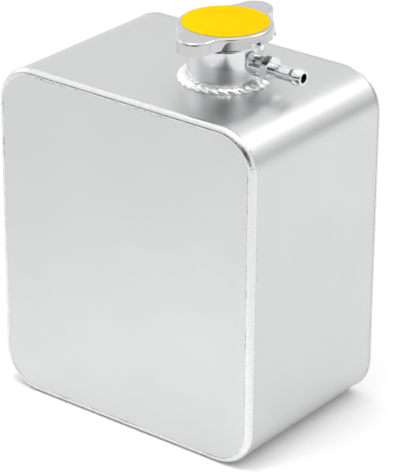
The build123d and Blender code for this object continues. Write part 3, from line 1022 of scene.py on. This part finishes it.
@dataclass(frozen=True)
class Bead:
    """How one kind of weld bead is laid."""

    foot: float
    rise: float
    pitch: float
    depth: float
    fullness: float = 1.0
    bow: float = 0.5
    scallop: float = 0.5
    wander: float = 0.3
    # 1 where a painted dark line of shade runs along the bead's toe, 0 for none.
    etch: float = 0.0
    steps: int = 10
    root: float = 0.2 * MM
    fillet: bool = True


class Workshop:
    """What the sub-assemblies share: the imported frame, the materials and the two node tools."""

    def __init__(self, frame: dict[str, Any]) -> None:
        """Set up the tools.
        """
        self.nodes = frame["nodes"]
        self.bodies = frame["record"]["behaviour"]["bodies"]
        self.neck_centre = self.middle("neck_weld_bead")
        self.palette = Palette(self.neck_centre, self.middle("overflow_fitting").z)
        self.weld_tool = RippledWeld("rippled_weld")
        self.wire_tool = WoundWire("wound_wire")

    @staticmethod
    def middle(node: str) -> Vector:
        """Middle of a CAD node's box."""
        low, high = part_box(node)
        return (low + high) / 2

    def body_of(self, node: str) -> str:
        """Name of the body that carries a CAD node."""
        return next(body for body, members in self.bodies.items() if node in members)

    def metal(self, bead: Bead) -> Material:
        """Material of a bead: brighter weld metal for a fillet, the plainer one for a seam."""
        return self.palette.fillet_weld if bead.fillet else self.palette.weld

    def paint(self, node: str, material: Material) -> None:
        """Give a CAD node that stays a finish.

        Args:
            node: the node's name.
            material: its material.
        """
        target = self.nodes[node]
        if not target.material_slots:
            target.data.materials.append(material)
        for slot in target.material_slots:
            slot.material = material
        log.info("%s keeps its CAD shape, finished with %s", node, material.name)

    def fit(self, piece: Piece, node: str, slot: str, material: Material) -> None:
        """Put a new piece in the place of a CAD node.

        Args:
            piece: the new piece.
            node: the CAD node that it stands for.
            slot: the record's material slot; not used.
            material: its material.
        """
        piece.data.materials.clear()
        piece.data.materials.append(material)
        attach(piece, self.body_of(node))
        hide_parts(node)
        log.info("%s stands for %s with %d faces", piece.name, node, len(piece.data.polygons))

    def lay(self, bead: Bead, name: str, path: Sequence[Point], place: Matrix, seed: int) -> Piece:
        """Lay a bead along a path.

        Args:
            bead: the kind of bead.
            name: name of the piece.
            path: closed path in the local plane, counter-clockwise.
            place: matrix from the local plane to the frame.
            seed: seed of its irregularities.

        Returns:
            The bead.
        """
        length = sum(math.dist(start, end) for start, end in zip(path, [*path[1:], path[0]]))
        sizes = {label: value for label, value in vars(bead).items() if label not in ("pitch", "fillet")}
        ripples = round(length / bead.pitch)
        return self.weld_tool.run(name, path, self.metal(bead), place, ripples=ripples, seed=seed, **sizes)

    def wind(self, name: str, material: Material, place: Matrix, **sizes: float) -> Piece:
        """Wind a wire. Its path comes from the tree, so the path that carries the tree is any."""
        return self.wire_tool.run(name, circle_points(MM, 3), material, place, **sizes)


@dataclass
class TankShell:
    """Folded wrap, end plates and the edge welds that close them."""

    shop: Workshop
    corner_radius: float = 25 * MM
    bead_stand: float = 0.35 * MM
    bead_lap: float = 0.9 * MM
    first_seed: int = 11
    edge_bead: Bead = Bead(
        foot=3.7 * MM,
        rise=3.1 * MM,
        pitch=2.1 * MM,
        depth=0.06 * MM,
        fullness=0.92,
        scallop=0.6,
        wander=1.5,
        etch=1.0,
        steps=6,
        fillet=False,
    )

    def lay_edge_weld(self, side: Side) -> None:
        """Lay the weld round one end plate.

        Args:
            side: which end.
        """
        low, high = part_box("body_wrap")
        outward = Vector((0, side.value, 0))
        across = Vector((-side.value, 0, 0))
        middle = (low + high) / 2
        face = high.y if side is Side.REAR else low.y
        inset = self.edge_bead.foot
        width, height = high.x - low.x - 2 * inset, high.z - low.z - 2 * inset
        path = rounded_rectangle_points(width, height, self.corner_radius - inset)
        place = frame_at(Vector((middle.x, face, middle.z)) - outward * self.bead_lap, outward, across)
        rise = self.edge_bead.rise + self.bead_lap
        bead = replace(self.edge_bead, foot=inset + self.bead_stand, rise=rise)
        end = side.name.lower()
        piece = self.shop.lay(bead, f"{end}_edge_weld", path, place, self.first_seed + side.value)
        self.shop.fit(piece, f"{end}_weld_bead", "weld", self.shop.metal(bead))

    def build(self) -> None:
        """Dress the shell."""
        palette = self.shop.palette
        for node in ("body_wrap", "front_end_plate", "rear_end_plate"):
            self.shop.paint(node, palette.sheet)
        # The seam weld carries no bead attributes, so the painted trough shade darkens it all over.
        self.shop.paint("wrap_seam_weld", palette.weld)
        for side in Side:
            self.lay_edge_weld(side)


@dataclass
class HoseTail:
    """Screw-in hose tail with a hexagon, an undercut, a tube and a barbed tip."""

    shop: Workshop
    node: str
    material: Material
    axis: Vector
    thread_radius: float = 4.75 * MM
    thread_length: float = 4.2 * MM
    thread_runout: float = 0.2 * MM
    hexagon_flats: float = 14.0 * MM
    hexagon_length: float = 5.0 * MM
    hexagon_chamfer: float = 0.9 * MM
    hexagon_slope: float = 0.6
    hexagon_relief: float = 0.25 * MM
    hexagon_bore_share: float = 0.9
    hexagon_steps: int = 24
    undercut_radius: float = 3.4 * MM
    undercut_length: float = 3.5 * MM
    tail_radius: float = 4.0 * MM
    barb_ramp: float = 2.8 * MM
    barb_radius: float = 5.15 * MM
    barb_land: float = 2.8 * MM
    nose_length: float = 2.8 * MM
    nose_radius: float = 4.25 * MM
    bore_radius: float = 2.8 * MM
    edge: float = 0.35 * MM
    segments: int = 80

    def tube_shell(self, tail_length: float) -> Shell:
        """Turned part, from the thread to the tip.

        Args:
            tail_length: length of the plain tube before the barb.

        Returns:
            Vertices and faces.
        """
        tube = self.hexagon_length + self.undercut_length
        ramp = tube + tail_length
        land = ramp + self.barb_ramp
        nose = land + self.barb_land
        outline = [
            (self.bore_radius, -self.thread_length),
            (self.thread_radius, -self.thread_length),
            (self.thread_radius, 0.0),
            (self.undercut_radius, self.thread_runout),
            (self.undercut_radius, tube),
            (self.tail_radius, tube),
            (self.tail_radius, ramp),
            (self.barb_radius, land),
            (self.barb_radius, nose),
            (self.nose_radius, nose + self.nose_length),
            (self.bore_radius, nose + self.nose_length),
        ]
        return lathe(soften(outline, self.edge), self.segments)

    def hexagon_shell(self) -> Shell:
        """Hexagon with turned chamfers and a hole for the tube.

        Returns:
            Vertices and faces.
        """
        count = 6 * self.hexagon_steps
        flat = self.hexagon_flats / 2
        corner = flat / math.cos(math.radians(30))
        chamfer, length = self.hexagon_chamfer, self.hexagon_length
        slope = self.hexagon_slope
        rows = [(share * chamfer * slope, share) for share in (0.0, 0.5, 1.0)]
        rows += [(length - share * chamfer * slope, share) for share in (1.0, 0.75, 0.5, 0.25, 0.0)]
        points = []
        for turn, (x, y) in enumerate(circle_points(1.0, count)):
            off_flat = (2 * math.pi * turn / count + math.pi / 6) % (math.pi / 3) - math.pi / 6
            side = flat / max(math.cos(off_flat - math.pi / 6), math.cos(off_flat + math.pi / 6))
            reach = min(side, corner - self.hexagon_relief)
            direction = Vector((x, y, 0))
            bore = direction * self.undercut_radius * self.hexagon_bore_share
            points.append(bore)
            for height, share in rows:
                limit = corner - (1 - share) * chamfer
                points.append(direction * min(reach, limit) + Vector((0, 0, height)))
            points.append(bore + Vector((0, 0, length)))
        return points, ring_faces(count, len(rows) + 2)

    def build(self) -> None:
        """Make the hose tail in its node's place, its tube as long as the node leaves for it."""
        low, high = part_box(self.node)
        middle = (low + high) / 2
        overall = max(high[i] - low[i] for i in range(3) if self.axis[i])
        fixed = self.thread_length + self.hexagon_length + self.undercut_length
        tail_length = overall - fixed - self.barb_ramp - self.barb_land - self.nose_length
        start = Vector([low[i] if self.axis[i] else middle[i] for i in range(3)])
        place = frame_at(start + self.axis * self.thread_length, self.axis, Vector((0, 0, 1)))
        shells = [self.tube_shell(tail_length), self.hexagon_shell()]
        piece = make_object(self.node.replace("fitting", "hose_tail"), shells, place)
        self.shop.fit(piece, self.node, "fitting", self.material)


@dataclass
class NeckAssembly:
    """Filler neck, the weld at its foot and the overflow hose tail."""

    shop: Workshop
    neck_radius: float = 22.25 * MM
    seed: int = 5
    neck_bead: Bead = Bead(
        foot=5.7 * MM,
        rise=3.9 * MM,
        pitch=5.0 * MM,
        depth=1.3 * MM,
        fullness=0.95,
        bow=-0.7,
        scallop=0.7,
        wander=0.15,
        steps=16,
    )

    def build(self) -> None:
        """Dress the neck and lay its weld."""
        shop = self.shop
        shop.paint("filler_neck", shop.palette.neck)
        low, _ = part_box("neck_weld_bead")
        place = Matrix.Translation((shop.neck_centre.x, shop.neck_centre.y, low.z))
        piece = shop.lay(self.neck_bead, "neck_weld", circle_points(self.neck_radius), place, self.seed)
        shop.fit(piece, "neck_weld_bead", "weld", shop.metal(self.neck_bead))
        HoseTail(shop, "overflow_fitting", shop.palette.overflow, Vector((1, 0, 0))).build()


@dataclass
class RearFittings:
    """Outlet, bleed boss with its hose tail, and four threaded mounting bosses on the rear plate."""

    shop: Workshop
    outlet_radius: float = 9.5 * MM
    outlet_wall: float = 2.0 * MM
    outlet_inside: float = 6.0 * MM
    outlet_length: float = 38.0 * MM
    outlet_bead_radius: float = 10.4 * MM
    outlet_bead_land: float = 3.0 * MM
    outlet_bead_ramp: float = 2.4 * MM
    outlet_bead_setback: float = 6.0 * MM
    outlet_edge: float = 1.2 * MM
    boss_radius: float = 9.0 * MM
    boss_edge: float = 0.6 * MM
    boss_softness: float = 0.12 * MM
    boss_segments: int = 64
    mouth_slope: float = 0.7
    hole_radius: float = 0.05 * MM
    thread_minor: float = 3.4 * MM
    thread_major: float = 4.0 * MM
    thread_pitch: float = 1.25 * MM
    thread_depth: float = 14.0 * MM
    thread_steps: int = 32
    thread_sides: int = 4
    bead_path_points: int = 80
    outlet_seed: int = 21
    first_boss_seed: int = 31
    bleed_seed: int = 41
    outlet_bead: Bead = Bead(foot=4.4 * MM, rise=4.4 * MM, pitch=3.2 * MM, depth=0.9 * MM)
    boss_bead: Bead = Bead(foot=3.1 * MM, rise=2.4 * MM, pitch=2.7 * MM, depth=0.7 * MM)

    def place_on_plate(self, x: float, z: float) -> Matrix:
        """Local frame on the rear plate's outer face, its Z outward."""
        _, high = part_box("rear_end_plate")
        return frame_at(Vector((x, high.y, z)), Vector((0, 1, 0)), Vector((-1, 0, 0)))

    def build_outlet(self) -> None:
        """Turn the outlet and lay its weld."""
        shop = self.shop
        middle = shop.middle("outlet_spigot")
        land_end = self.outlet_length - self.outlet_bead_setback
        land_start = land_end - self.outlet_bead_land
        inner = self.outlet_radius - self.outlet_wall
        outline = [
            (inner, -self.outlet_inside),
            (self.outlet_radius, -self.outlet_inside),
            (self.outlet_radius, land_start - self.outlet_bead_ramp),
            (self.outlet_bead_radius, land_start),
            (self.outlet_bead_radius, land_end),
            (self.outlet_radius, land_end + self.outlet_bead_ramp),
            (self.outlet_radius, self.outlet_length),
            (inner, self.outlet_length),
        ]
        place = self.place_on_plate(middle.x, middle.z)
        piece = make_object("outlet_tube", [lathe(soften(outline, self.outlet_edge))], place)
        shop.fit(piece, "outlet_spigot", "turned", shop.palette.rear)
        path = circle_points(self.outlet_radius)
        bead = shop.lay(self.outlet_bead, "outlet_weld", path, place, self.outlet_seed)
        shop.fit(bead, "outlet_weld_bead", "weld", shop.metal(self.outlet_bead))

    def boss_places(self) -> list[tuple[float, float]]:
        """Find the centres of the four mounting bosses.

        Returns:
            Places as x and z.
        """
        low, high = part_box("mounting_bosses")
        radius = self.boss_radius
        return [(x, z) for x in (low.x + radius, high.x - radius) for z in (low.z + radius, high.z - radius)]

    def boss_outline(self, stand: float, inside: float) -> list[Point]:
        """Section of a mounting boss with its blind hole.

        Args:
            stand: how far it stands out of the plate.
            inside: how far it reaches in.

        Returns:
            The softened outline.
        """
        floor = stand - self.thread_depth
        outline = [
            (self.thread_major, floor),
            (self.thread_major, stand - self.boss_edge),
            (self.thread_major + self.boss_edge * self.mouth_slope, stand),
            (self.boss_radius - self.boss_edge, stand),
            (self.boss_radius, stand - self.boss_edge),
            (self.boss_radius, -inside),
            (self.hole_radius, -inside),
            (self.hole_radius, floor),
        ]
        return soften(outline[::-1], self.boss_softness, 2)

    def build_bosses(self) -> None:
        """Turn the mounting bosses, cut their threads and lay their welds."""
        shop = self.shop
        low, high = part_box("mounting_bosses")
        _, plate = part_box("rear_end_plate")
        stand = high.y - plate.y
        bush = lathe(self.boss_outline(stand, plate.y - low.y), self.boss_segments)
        height = self.thread_depth - self.boss_edge
        path = circle_points(self.boss_radius, self.bead_path_points)
        turned, ridges, beads = [], [], []
        for number, (x, z) in enumerate(self.boss_places()):
            place = self.place_on_plate(x, z)
            base = place @ Matrix.Translation((0, 0, stand - self.thread_depth))
            turned.append(make_object(f"boss_{number}", [bush], place))
            ridge = shop.wind(
                f"thread_{number}",
                shop.palette.rear,
                base,
                mean_radius=self.thread_major,
                wire_radius=self.thread_major - self.thread_minor,
                height=height,
                turns=height / self.thread_pitch,
                closed_turns=0.0,
                steps=self.thread_steps,
                sides=self.thread_sides,
            )
            ridges.append(ridge)
            name = f"boss_weld_{number}"
            beads.append(shop.lay(self.boss_bead, name, path, place, self.first_boss_seed + number))
        bushes = join_pieces("mount_bushes", turned + ridges)
        shop.fit(bushes, "mounting_bosses", "turned", shop.palette.rear)
        welds = join_pieces("mount_welds", beads)
        shop.fit(welds, "mounting_boss_welds", "weld", shop.metal(self.boss_bead))

    def build_bleed(self) -> None:
        """Dress the bleed boss, lay its weld and make its hose tail."""
        shop = self.shop
        shop.paint("bleed_boss", shop.palette.rear)
        middle = shop.middle("bleed_boss")
        place = self.place_on_plate(middle.x, middle.z)
        path = circle_points(self.boss_radius, self.bead_path_points)
        bead = shop.lay(self.boss_bead, "bleed_weld", path, place, self.bleed_seed)
        shop.fit(bead, "bleed_weld_bead", "weld", shop.metal(self.boss_bead))
        HoseTail(shop, "bleed_fitting", shop.palette.rear, Vector((0, 1, 0))).build()

    def build(self) -> None:
        """Make everything on the rear plate."""
        self.build_outlet()
        self.build_bosses()
        self.build_bleed()


@dataclass
class PressureCap:
    """Cap shell and disc, and the valve train inside them."""

    shop: Workshop
    main_spring_radius: float = 11.2 * MM
    main_wire_radius: float = 1.1 * MM
    main_turns: float = 6.0
    small_spring_radius: float = 3.2 * MM
    small_wire_radius: float = 0.3 * MM
    small_turns: float = 4.5
    closed_turns: float = 1.0
    wire_steps: int = 40
    wire_sides: int = 14
    plate_travel: float = 3.0 * MM
    pin_travel: float = 1.2 * MM

    def wind_spring(self, node: str, name: str, radius: float, wire: float, turns: float) -> Piece:
        """Wind a spring in its node's place.

        Args:
            node: the CAD node.
            name: the piece's name.
            radius: radius of the wire's centre line.
            wire: radius of the wire.
            turns: number of turns, the closed ones among them.

        Returns:
            The spring.
        """
        low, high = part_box(node)
        piece = self.shop.wind(
            name,
            self.shop.palette.wire,
            Matrix.Translation((self.shop.neck_centre.x, self.shop.neck_centre.y, low.z)),
            mean_radius=radius,
            wire_radius=wire,
            height=high.z - low.z,
            turns=turns,
            closed_turns=self.closed_turns,
            steps=self.wire_steps,
            sides=self.wire_sides,
        )
        self.shop.fit(piece, node, "spring_steel", self.shop.palette.wire)
        return piece

    def dress(self) -> None:
        """Give the pieces that keep their CAD shape their finishes."""
        palette = self.shop.palette
        finishes = {
            "cap_shell": palette.cap,
            "cap_disc_cover": palette.disc,
            "cap_stem": palette.steel,
            "bell_spring": palette.wire,
            "cap_gasket": palette.rubber,
            "spring_cup": palette.steel,
            "pressure_plate": palette.steel,
            "pressure_seal": palette.rubber,
            "vacuum_valve": palette.brass,
            "vacuum_retainer": palette.brass,
        }
        for node, material in finishes.items():
            self.shop.paint(node, material)

    def build(self) -> None:
        """Dress the cap and wind its springs."""
        self.dress()
        sizes = (self.main_spring_radius, self.main_wire_radius, self.main_turns)
        main = self.wind_spring("pressure_spring", "main_spring", *sizes)
        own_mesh(main)
        sizes = (self.small_spring_radius, self.small_wire_radius, self.small_turns)
        small = self.wind_spring("vacuum_spring", "small_spring", *sizes)
        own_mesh(small)


# Studio


@dataclass(frozen=True)
class WallArea:
    """Soft-edged oval area of the room's wall, brighter or darker than the rest."""

    azimuth: float
    elevation: float
    half_width: float
    half_height: float
    gain: float
    core: float = 0.45

    def factor(self, bench: NodeBench, direction: dict[str, Signal]) -> Signal:
        """Share of the area in a direction.

        Args:
            bench: the bench of the world's tree.
            direction: X, Y and Z of the direction.

        Returns:
            A factor from 0 outside the area to 1 in its core.
        """
        turn = math.radians(self.azimuth)
        ahead = direction["X"] * math.cos(turn) + direction["Y"] * math.sin(turn)
        aside = direction["Y"] * math.cos(turn) - direction["X"] * math.sin(turn)
        swing = bench.math("DIVIDE", bench.math("ARCTAN2", aside, ahead), math.radians(self.half_width))
        lift = bench.math("ARCSINE", direction["Z"]) - math.radians(self.elevation)
        rise = bench.math("DIVIDE", lift, math.radians(self.half_height))
        return bench.span(bench.math("SQRT", swing * swing + rise * rise), self.core, 1.0, 1.0, 0.0)


# The dark camera stand, two bright windows and two dim stretches of horizon, which the metal mirrors.
ROOM_AREAS = (
    WallArea(azimuth=-52.0, elevation=25.0, half_width=38.0, half_height=19.0, gain=0.08),
    WallArea(azimuth=62.0, elevation=34.0, half_width=36.0, half_height=22.0, gain=1.25, core=0.2),
    WallArea(azimuth=50.0, elevation=2.0, half_width=30.0, half_height=14.0, gain=0.5, core=0.3),
    WallArea(azimuth=-88.0, elevation=4.0, half_width=60.0, half_height=18.0, gain=0.12, core=0.6),
    WallArea(azimuth=-172.0, elevation=28.0, half_width=48.0, half_height=22.0, gain=1.7, core=0.3),
)


@dataclass(frozen=True)
class SoftLight:
    """Square soft light, of full spread or narrowed to an angle in degrees."""

    name: str
    place: Triple
    target: Triple
    size: float
    power: float
    spread: float = 180.0

    def hang(self) -> None:
        """Create the light."""
        data = bpy.data.lights.new(self.name, "AREA")
        data.shape = "SQUARE"
        data.size = self.size
        data.energy = self.power
        data.spread = math.radians(self.spread)
        put_in_scene(self.name, data).matrix_world = aim(self.place, self.target)


# A narrow light over the floor before the front plate, and a wide one behind the right side.
SOFT_LIGHTS = (
    SoftLight("top_softbox", (-0.02, -0.26, 0.8), (-0.01, -0.1, 0.0), size=0.25, power=0.16, spread=40.0),
    SoftLight("right_softbox", (0.62, 0.75, 1.1), (0.15, 0.05, 0.0), size=0.6, power=2.2),
)


@dataclass
class Studio:
    """Floor, world, soft light and the camera at the photograph's angle."""

    camera_place: Triple = (0.8893, -1.1363, 0.7804)
    camera_target: Triple = (0.0, 0.0, 0.106)
    focal_pixels: float = 2650.0
    principal_x: float = 188.91
    principal_y: float = 231.09
    roll_degrees: float = 0.28
    sensor: float = 36.0
    clip_start: float = 0.05
    clip_end: float = 50.0
    floor_half: float = 4.0
    floor_drop: float = 0.38 * MM
    wall_level: float = 0.98
    ceiling_level: float = 1.4
    ceiling_edge: Point = (0.72, 0.86)
    areas: tuple[WallArea, ...] = ROOM_AREAS
    lights: tuple[SoftLight, ...] = SOFT_LIGHTS

    def set_camera(self) -> None:
        """Create the camera."""
        data = bpy.data.cameras.new("camera")
        data.sensor_fit = "VERTICAL"
        data.sensor_height = self.sensor
        data.lens = self.focal_pixels * self.sensor / IMAGE_HEIGHT
        data.shift_x = (IMAGE_WIDTH / 2 - self.principal_x) / IMAGE_HEIGHT
        data.shift_y = (self.principal_y - IMAGE_HEIGHT / 2) / IMAGE_HEIGHT
        data.clip_start = self.clip_start
        data.clip_end = self.clip_end
        camera = put_in_scene("camera", data)
        roll = Matrix.Rotation(math.radians(self.roll_degrees), 4, "Z")
        camera.matrix_world = aim(self.camera_place, self.camera_target) @ roll
        bpy.context.scene.camera = camera

    def lay_floor(self) -> None:
        """Lay the floor."""
        reach = self.floor_half
        signs = ((-1, -1), (1, -1), (1, 1), (-1, 1))
        corners = [Vector((x * reach, y * reach, -self.floor_drop)) for x, y in signs]
        floor = make_object("floor", [(corners, [(0, 1, 2, 3)])], Matrix.Identity(4))
        floor.data.materials.append(STUDIO_FLOOR.build())

    def set_world(self) -> None:
        """Light the room: pale all round, with a few brighter and darker areas."""
        world = bpy.data.worlds.new("room")
        bpy.context.scene.world = world
        world.use_nodes = True
        world.node_tree.nodes.clear()
        bench = NodeBench(world.node_tree)
        direction = bench.split(bench.take("Generated", "ShaderNodeTexCoord"))
        level = bench.span(direction["Z"], *self.ceiling_edge, self.wall_level, self.ceiling_level)
        for area in self.areas:
            level = level * (area.factor(bench, direction) * (area.gain - 1.0) + 1.0)
        inputs = {"Strength": level, "Color": (1.0, 1.0, 1.0, 1.0)}
        shade = bench.take("Background", "ShaderNodeBackground", inputs)
        bench.node("ShaderNodeOutputWorld", {"Surface": shade})

    def build(self) -> None:
        """Set up the studio."""
        self.set_camera()
        self.lay_floor()
        self.set_world()
        for light in self.lights:
            light.hang()
        bpy.context.scene.view_settings.view_transform = "Standard"


def main() -> None:
    """Build the dressed model."""
    logging.basicConfig(level=logging.INFO, format="%(name)s: %(message)s")
    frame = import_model()
    Studio().build()
    shop = Workshop(frame)
    for assembly in (TankShell(shop), NeckAssembly(shop), RearFittings(shop), PressureCap(shop)):
        assembly.build()
        log.info("%s done", type(assembly).__name__)
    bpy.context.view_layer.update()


if __name__ == "__main__":
    main()
